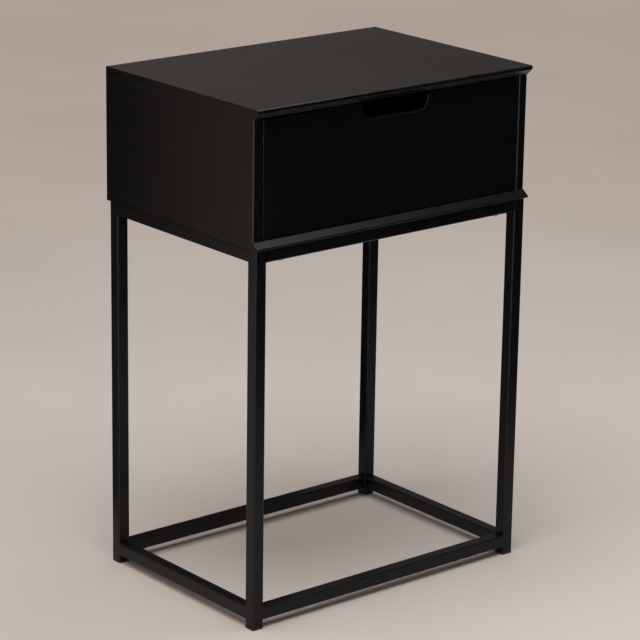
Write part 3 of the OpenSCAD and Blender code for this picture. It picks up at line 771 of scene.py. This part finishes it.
def dowel_grower():
    """Fluted dowels with chamfered ends."""
    tree, given, out = new_grower(
        "dowels", ("Radius", 0.003), ("Length", 0.024), ("Chamfer", 0.0007), ("Flute Depth", 0.00022),
    )

    def fluted_radius(share, turn):
        wave = sums(tree, "ABSOLUTE", sums(tree, "SINE", product(tree, turn, math.pi * FLUTES)))
        root = rest_of(tree, given["Radius"], given["Flute Depth"])
        side = sums(tree, "MULTIPLY_ADD", wave, given["Flute Depth"], root)
        nearer = sums(tree, "MINIMUM", share, rest_of(tree, 1.0, share))
        from_end = product(tree, nearer, given["Length"])
        cut = between(tree, from_end, 0.0, given["Chamfer"], given["Chamfer"], 0.0)
        return rest_of(tree, side, cut)

    def dowel_height(share):
        return product(tree, share, given["Length"])

    dowel = lathe(tree, DOWEL_SIDES, DOWEL_STEPS, fluted_radius, dowel_height)
    return finish_grower(tree, planted(tree, given["Points"], dowel, given["Seed"]), given, out)


def weld_grower():
    """A rippled weld bead along every edge it is given."""
    tree, given, out = new_grower(
        "weld_beads", ("Bead Radius", 0.0013), ("Ripple", 0.0011), ("Unevenness", 0.25),
    )
    line = put(tree, "GeometryNodeMeshToCurve", {"Mesh": given["Points"]}).outputs[0]
    step = sums(tree, "DIVIDE", given["Ripple"], STEPS_A_RIPPLE)
    points = put(tree, "GeometryNodeResampleCurve", {"Curve": line, "Length": step}, mode="LENGTH").outputs[0]
    along = put(tree, "GeometryNodeSplineParameter").outputs
    ripples = sums(tree, "DIVIDE", product(tree, along["Length"], math.pi), given["Ripple"])
    wave = sums(tree, "ABSOLUTE", sums(tree, "SINE", ripples))
    place = put(tree, "GeometryNodeInputPosition").outputs[0]
    lump = cloudy(tree, place, 3 * MM, 2.0)
    uneven = sums(tree, "MULTIPLY_ADD", lump, given["Unevenness"], 0.78)
    ends = sums(tree, "MINIMUM", along["Factor"], rest_of(tree, 1.0, along["Factor"]))
    taper = between(tree, ends, 0.0, 0.12, 0.35, 1.0)
    swell = product(tree, sums(tree, "MULTIPLY_ADD", wave, 0.16, uneven), taper)
    round_bead = {"Resolution": BEAD_SIDES, "Radius": given["Bead Radius"]}
    ring = put(tree, "GeometryNodeCurvePrimitiveCircle", round_bead).outputs[0]
    wires = {"Curve": points, "Profile Curve": ring, "Scale": swell, "Fill Caps": True}
    bead = put(tree, "GeometryNodeCurveToMesh", wires).outputs[0]
    return finish_grower(tree, bead, given, out)


def grown(name, tree, seeds, material, body, sizes, *stands_for):
    """Runs a grower on seed points or edges, and makes a plain piece of what it grows."""
    obj = bpy.data.objects.new(name, seeds)
    bpy.context.scene.collection.objects.link(obj)
    maker = obj.modifiers.new("grower", "NODES")
    maker.node_group = tree
    sockets = {item.name: item.identifier for item in tree.interface.items_tree if item.in_out == "INPUT"}
    for title, value in {**sizes, "Finish": material}.items():
        maker[sockets[title]] = value
    graph = bpy.context.evaluated_depsgraph_get()
    mesh = bpy.data.meshes.new_from_object(obj.evaluated_get(graph), depsgraph=graph)
    bpy.data.objects.remove(obj)
    mesh.name = name
    return piece(name, mesh, material, body, *stands_for)


HEAD_REACH = 3.1 * MM  # how far from an end its widest point is looked for
TIP_REACH = 1 * MM  # how far from its tip a solid has only its shank
WIDER = 1.05  # times the shank's radius, from which a point is on the head


def round_sizes(points):
    """Where a round solid starts, which way it runs, and its radii and lengths, read from its points.

    The start is the middle of its widest end.
    """
    low, high = points_box(points)
    axis = max(range(3), key=lambda i: high[i] - low[i])
    middle = (low + high) / 2

    def off_axis(point):
        out = point - middle
        out[axis] = 0
        return out.length

    def widest(near):
        return max(off_axis(p) for p in points if abs(p[axis] - near[axis]) < HEAD_REACH)

    head, tip = (low, high) if widest(low) >= widest(high) else (high, low)
    start = middle.copy()
    start[axis] = head[axis]
    aim = Vector((0, 0, 0))
    aim[axis] = 1.0 if tip[axis] > head[axis] else -1.0
    shank = max(off_axis(p) for p in points if abs(p[axis] - tip[axis]) < TIP_REACH)
    wide = [abs(p[axis] - head[axis]) for p in points if off_axis(p) > shank * WIDER]
    return {
        "start": start, "aim": aim, "shank": shank, "length": high[axis] - low[axis],
        "head": max(off_axis(p) for p in points), "head_height": max(wide, default=0.0),
    }


def seed_points(name, found):
    """A mesh with one point at the start of each round solid, carrying its aim."""
    mesh = bpy.data.meshes.new(name)
    mesh.from_pydata([each["start"] for each in found], [], [])
    aims = mesh.attributes.new("aim", "FLOAT_VECTOR", "POINT")
    for i, each in enumerate(found):
        aims.data[i].vector = each["aim"]
    return mesh


THREAD_PITCH_SHARE = 0.75  # of the shank's radius
DOWEL_CHAMFER = 0.7 * MM


def fasteners():
    """The screws and dowels, each grown where its plain solid stands."""
    tree = screw_grower()
    for seed, node in enumerate(PAN_SCREWS + FLAT_SCREWS):
        found = [round_sizes(points) for points in solids_of(node)]
        first = found[0]
        sizes = {
            "Head Radius": first["head"], "Head Height": first["head_height"],
            "Shank Radius": first["shank"], "Length": first["length"],
            "Thread Pitch": first["shank"] * THREAD_PITCH_SHARE,
            "Countersunk": 1.0 if node in FLAT_SCREWS else 0.0, "Seed": seed,
        }
        name = "threaded_" + node
        grown(name, tree, seed_points(name, found), ZINC, NODES[node]["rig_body"], sizes, node)
    tree = dowel_grower()
    for seed, node in enumerate(DOWELS):
        found = [round_sizes(points) for points in solids_of(node)]
        first = found[0]
        sizes = {
            "Radius": first["head"], "Length": first["length"], "Chamfer": DOWEL_CHAMFER, "Seed": seed,
        }
        name = "fluted_" + node
        grown(name, tree, seed_points(name, found), BEECH, NODES[node]["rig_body"], sizes, node)


# ---- Welds ----

TUBE_CORNER = 2 * MM  # radius on the tube's outside corners
BEAD_RADIUS = 1.2 * MM
BEAD_SINK = 0.3 * MM  # how far a bead's middle line lies inside the corner it fills
CORNER_STEPS = 4


def frame_beads():
    """Beads where a grinder can't reach: up the inside of each leg, and under each rail's ends."""
    lines = []
    for height in ("top", "bottom"):
        for end, ahead in (("front", -1), ("back", 1)):
            for side, outward in (("left", -1), ("right", 1)):
                low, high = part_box(f"{end}_{side}_leg")
                rail_low, rail_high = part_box(f"{end}_{height}_rail")
                inner_x = low.x if outward > 0 else high.x
                inner_y = low.y if ahead > 0 else high.y
                x = inner_x + outward * BEAD_SINK
                y = inner_y + ahead * BEAD_SINK
                under = rail_low.z + BEAD_SINK
                near_x = inner_x + outward * TUBE_CORNER
                near_y = inner_y + ahead * TUBE_CORNER
                far_x = inner_x + outward * (high.x - low.x - TUBE_CORNER)
                far_y = inner_y + ahead * (high.y - low.y - TUBE_CORNER)
                lines.append(((x, y, rail_low.z + TUBE_CORNER), (x, y, rail_high.z - TUBE_CORNER)))
                lines.append(((x, near_y, under), (x, far_y, under)))
                lines.append(((near_x, y, under), (far_x, y, under)))
    return lines


def ground_weld(shape, low, high, axis, end, depth):
    """A length of the rail's outer shape let into the leg, where the weld was filled and ground flush."""
    middle = (low + high) / 2
    half = (high[UP] - low[UP]) / 2
    across = [i for i in range(3) if i != axis]
    outline = []
    for quarter in range(4):
        diagonal = math.pi / 2 * (quarter + 0.5)
        corner = Vector((math.cos(diagonal), math.sin(diagonal)))
        centre = corner * math.sqrt(2) * (half - TUBE_CORNER)
        for step in range(CORNER_STEPS + 1):
            angle = math.pi / 2 * (quarter + step / CORNER_STEPS)
            outline.append(centre + TUBE_CORNER * Vector((math.cos(angle), math.sin(angle))))
    rings = []
    for along in (end, end + depth):
        ring = []
        for point in outline:
            place = middle.copy()
            place[axis] = along
            place[across[0]] += point.x
            place[across[1]] += point.y
            ring.append(shape.verts.new(place))
        rings.append(ring)
    for i in range(len(outline)):
        j = (i + 1) % len(outline)
        shape.faces.new((rings[0][i], rings[0][j], rings[1][j], rings[1][i]))
    shape.faces.new(rings[0])
    shape.faces.new(rings[1])


def welds():
    """Beads left as they were laid, and joints ground flush."""
    mesh = bpy.data.meshes.new("weld_beads")
    points = [point for line in frame_beads() for point in line]
    mesh.from_pydata(points, [(i, i + 1) for i in range(0, len(points), 2)], [])
    grown("weld_beads", weld_grower(), mesh, POWDER, "table", {"Bead Radius": BEAD_RADIUS})
    shape = bmesh.new()
    for node in BOTTOM_RAILS + ["left_top_rail", "right_top_rail"]:
        low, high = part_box(node)
        axis = 0 if high.x - low.x > high.y - low.y else 1
        ground_weld(shape, low, high, axis, low[axis], -TUBE_CORNER)
        ground_weld(shape, low, high, axis, high[axis], TUBE_CORNER)
    piece("ground_welds", to_mesh("ground_welds", shape), POWDER, "table")


# ---- Small parts ----

FOOT_ARRIS = 0.5 * MM
SHEET_ARRIS = 0.35 * MM
ROLLER_ARRIS = 0.22 * MM
PIN_ARRIS = 0.3 * MM
RIM_ANGLE = math.radians(60)  # the turn at the rim of a roller or a pin


def foot_rim(edge):
    """Picks the rims of a foot's pad."""
    heights = [vert.co.z for vert in edge.verts]
    pad_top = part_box("front_left_leg")[0].z
    return max(abs(z - heights[0]) for z in heights) < 0.01 * MM and min(heights) < pad_top - 1 * MM


def round_rim(edge):
    """Picks the rims of a roller or a pin."""
    return edge.calc_face_angle(0) > RIM_ANGLE


def small_parts():
    """The feet, the runners, the rollers and their pins."""
    for node in FEET:
        finished(node, PLASTIC, FOOT_ARRIS, foot_rim)
    for node in RUNNERS:
        finished(node, EPOXY, SHEET_ARRIS, longer_than(1 * MM))
    for node in ROLLERS:
        finished(node, NYLON, ROLLER_ARRIS, round_rim, 2)
    for node in ROLLER_PINS:
        finished(node, ZINC, PIN_ARRIS, round_rim, 2)


panels()
tubes()
small_parts()
fasteners()
welds()

# ---- Camera, floor and lights ----

CAMERA_AZIMUTH = math.radians(-39.6)
CAMERA_ELEVATION = math.radians(17.0)
CAMERA_DISTANCE = 3.345
CAMERA_ROLL = math.radians(0.87)
CAMERA_AIM = Vector((0.005, 0.0, 0.2957))
CAMERA_LENS = 160.5
FLOOR_REACH = 30.0
COOL, WARM = rgb(0.84, 0.91, 1.0), rgb(1.0, 0.83, 0.73)
SUN_FROM, SUN_POWER, SUN_SPREAD = (-0.45, -0.1, 1.0), 1.7, math.radians(60)
OVERHEAD_AT, OVERHEAD_POWER = (0.05, -0.25, 1.5), 14
OVERHEAD_WIDTH, OVERHEAD_DEPTH = 1.3, 1.2

# A wall close behind the table, which shows only in reflections. Each band has its foot and its top,
# and then how brightly it glows at places from left to right.
WALL_BACK = 0.26
WALL_BANDS = {
    "low_wall": (0.0, 0.27, [
        (-2.6, 0.75), (-0.7, 0.75), (-0.5, 0.66), (-0.3, 0.12), (-0.1, 0.04), (0.2, 0.03),
    ]),
    "middle_wall": (0.27, 0.58, [
        (-2.6, 0.62), (-0.7, 0.62), (-0.5, 0.38), (-0.3, 0.07), (-0.1, 0.04), (0.2, 0.03),
    ]),
    "high_wall": (0.58, 1.6, [(-2.6, 0.28), (0.0, 0.20), (0.5, 0.14), (1.4, 0.12)]),
}


def add_camera():
    camera = bpy.data.objects.new("camera", bpy.data.cameras.new("camera"))
    bpy.context.scene.collection.objects.link(camera)
    flat = math.cos(CAMERA_ELEVATION)
    sideways, forward = math.sin(CAMERA_AZIMUTH) * flat, -math.cos(CAMERA_AZIMUTH) * flat
    back = Vector((sideways, forward, math.sin(CAMERA_ELEVATION)))
    camera.location = CAMERA_AIM + back * CAMERA_DISTANCE
    camera.rotation_mode = "QUATERNION"
    turned = (-back).to_track_quat("-Z", "Y").to_matrix() @ Matrix.Rotation(CAMERA_ROLL, 3, "Z")
    camera.rotation_quaternion = turned.to_quaternion()
    camera.data.lens = CAMERA_LENS
    camera.data.dof.use_dof = False
    bpy.context.scene.camera = camera


def pale_floor():
    """Plain pale matt floor, a little uneven in tone."""
    made, tree, skin = new_material("pale_floor", Specular_IOR_Level=0.0)
    tone = between(tree, cloudy(tree, object_place(tree), 0.5, 3.0), 0.3, 0.7)
    fill(tree, skin["Base Color"], tinted(tree, tone, rgb(0.592, 0.527, 0.472), rgb(0.632, 0.567, 0.512)))
    fill(tree, skin["Roughness"], sums(tree, "MULTIPLY_ADD", tone, 0.1, 0.6))
    return made


def add_floor():
    mesh = bpy.data.meshes.new("floor")
    corners = [(x * FLOOR_REACH, y * FLOOR_REACH, 0) for x, y in ((-1, -1), (1, -1), (1, 1), (-1, 1))]
    mesh.from_pydata(corners, [], [(0, 1, 2, 3)])
    mesh.materials.append(pale_floor())
    floor = bpy.data.objects.new("floor", mesh)
    bpy.context.scene.collection.objects.link(floor)


def add_softbox(name, place, target, width, height, power, colour):
    light = bpy.data.lights.new(name, "AREA")
    light.shape = "RECTANGLE"
    light.size, light.size_y = width, height
    light.energy, light.color = power, colour
    aim_lamp(name, light, place, target)


def aim_lamp(name, light, place, target):
    lamp = bpy.data.objects.new(name, light)
    bpy.context.scene.collection.objects.link(lamp)
    lamp.location = place
    lamp.rotation_mode = "QUATERNION"
    lamp.rotation_quaternion = (Vector(target) - Vector(place)).to_track_quat("-Z", "Y")
    lamp.visible_camera = False


def add_card(name, columns, low, high, colour):
    """A standing card that only shows in reflections.

    Each column is a place on the floor, as x and y, and how brightly the card glows there.
    """
    mesh = bpy.data.meshes.new(name)
    points = [(x, y, z) for z in (low, high) for x, y, _ in columns]
    count = len(columns)
    mesh.from_pydata(points, [], [(i, i + 1, count + i + 1, count + i) for i in range(count - 1)])
    glow = mesh.attributes.new("glow", "FLOAT", "POINT")
    for i in range(2 * count):
        glow.data[i].value = columns[i % count][2]
    made = bpy.data.materials.new(name)
    made.use_nodes = True
    tree = made.node_tree
    tree.nodes.clear()
    strength = put(tree, "ShaderNodeAttribute", attribute_name="glow").outputs["Fac"]
    light = put(tree, "ShaderNodeEmission", {"Color": colour, "Strength": strength})
    put(tree, "ShaderNodeOutputMaterial", {"Surface": light.outputs[0]})
    mesh.materials.append(made)
    card = bpy.data.objects.new(name, mesh)
    bpy.context.scene.collection.objects.link(card)
    for ray in ("camera", "diffuse", "transmission", "volume_scatter", "shadow"):
        setattr(card, "visible_" + ray, False)


def add_lights():
    sun = bpy.data.lights.new("broad_top_light", "SUN")
    sun.energy, sun.angle, sun.color = SUN_POWER, SUN_SPREAD, (1.0, 0.98, 0.96)
    aim_lamp("broad_top_light", sun, SUN_FROM, (0, 0, 0))
    below = (OVERHEAD_AT[0], OVERHEAD_AT[1], 0)
    add_softbox(
        "overhead", OVERHEAD_AT, below, OVERHEAD_WIDTH, OVERHEAD_DEPTH, OVERHEAD_POWER, (0.82, 0.90, 1.0)
    )
    add_card("arris_card", [(-1.59, -0.78, 3.0), (-0.91, -1.52, 3.0)], 0.0, 1.9, COOL)
    add_card("front_flag", [(-0.23, -1.05, 0.03), (1.07, 0.05, 0.03)], 0.0, 1.2, COOL)
    for name, (foot, top, glows) in WALL_BANDS.items():
        add_card(name, [(x, WALL_BACK, glow) for x, glow in glows], foot, top, WARM)
    world = bpy.data.worlds.new("studio")
    bpy.context.scene.world = world
    world.use_nodes = True
    tree = world.node_tree
    seen = put(tree, "ShaderNodeLightPath").outputs["Is Camera Ray"]
    colour = tinted(tree, seen, rgb(0.170, 0.146, 0.133), rgb(0.56, 0.54, 0.52))
    fill(tree, tree.nodes["Background"].inputs["Color"], colour)


add_camera()
add_floor()
add_lights()
bpy.context.scene.view_settings.view_transform = "Standard"
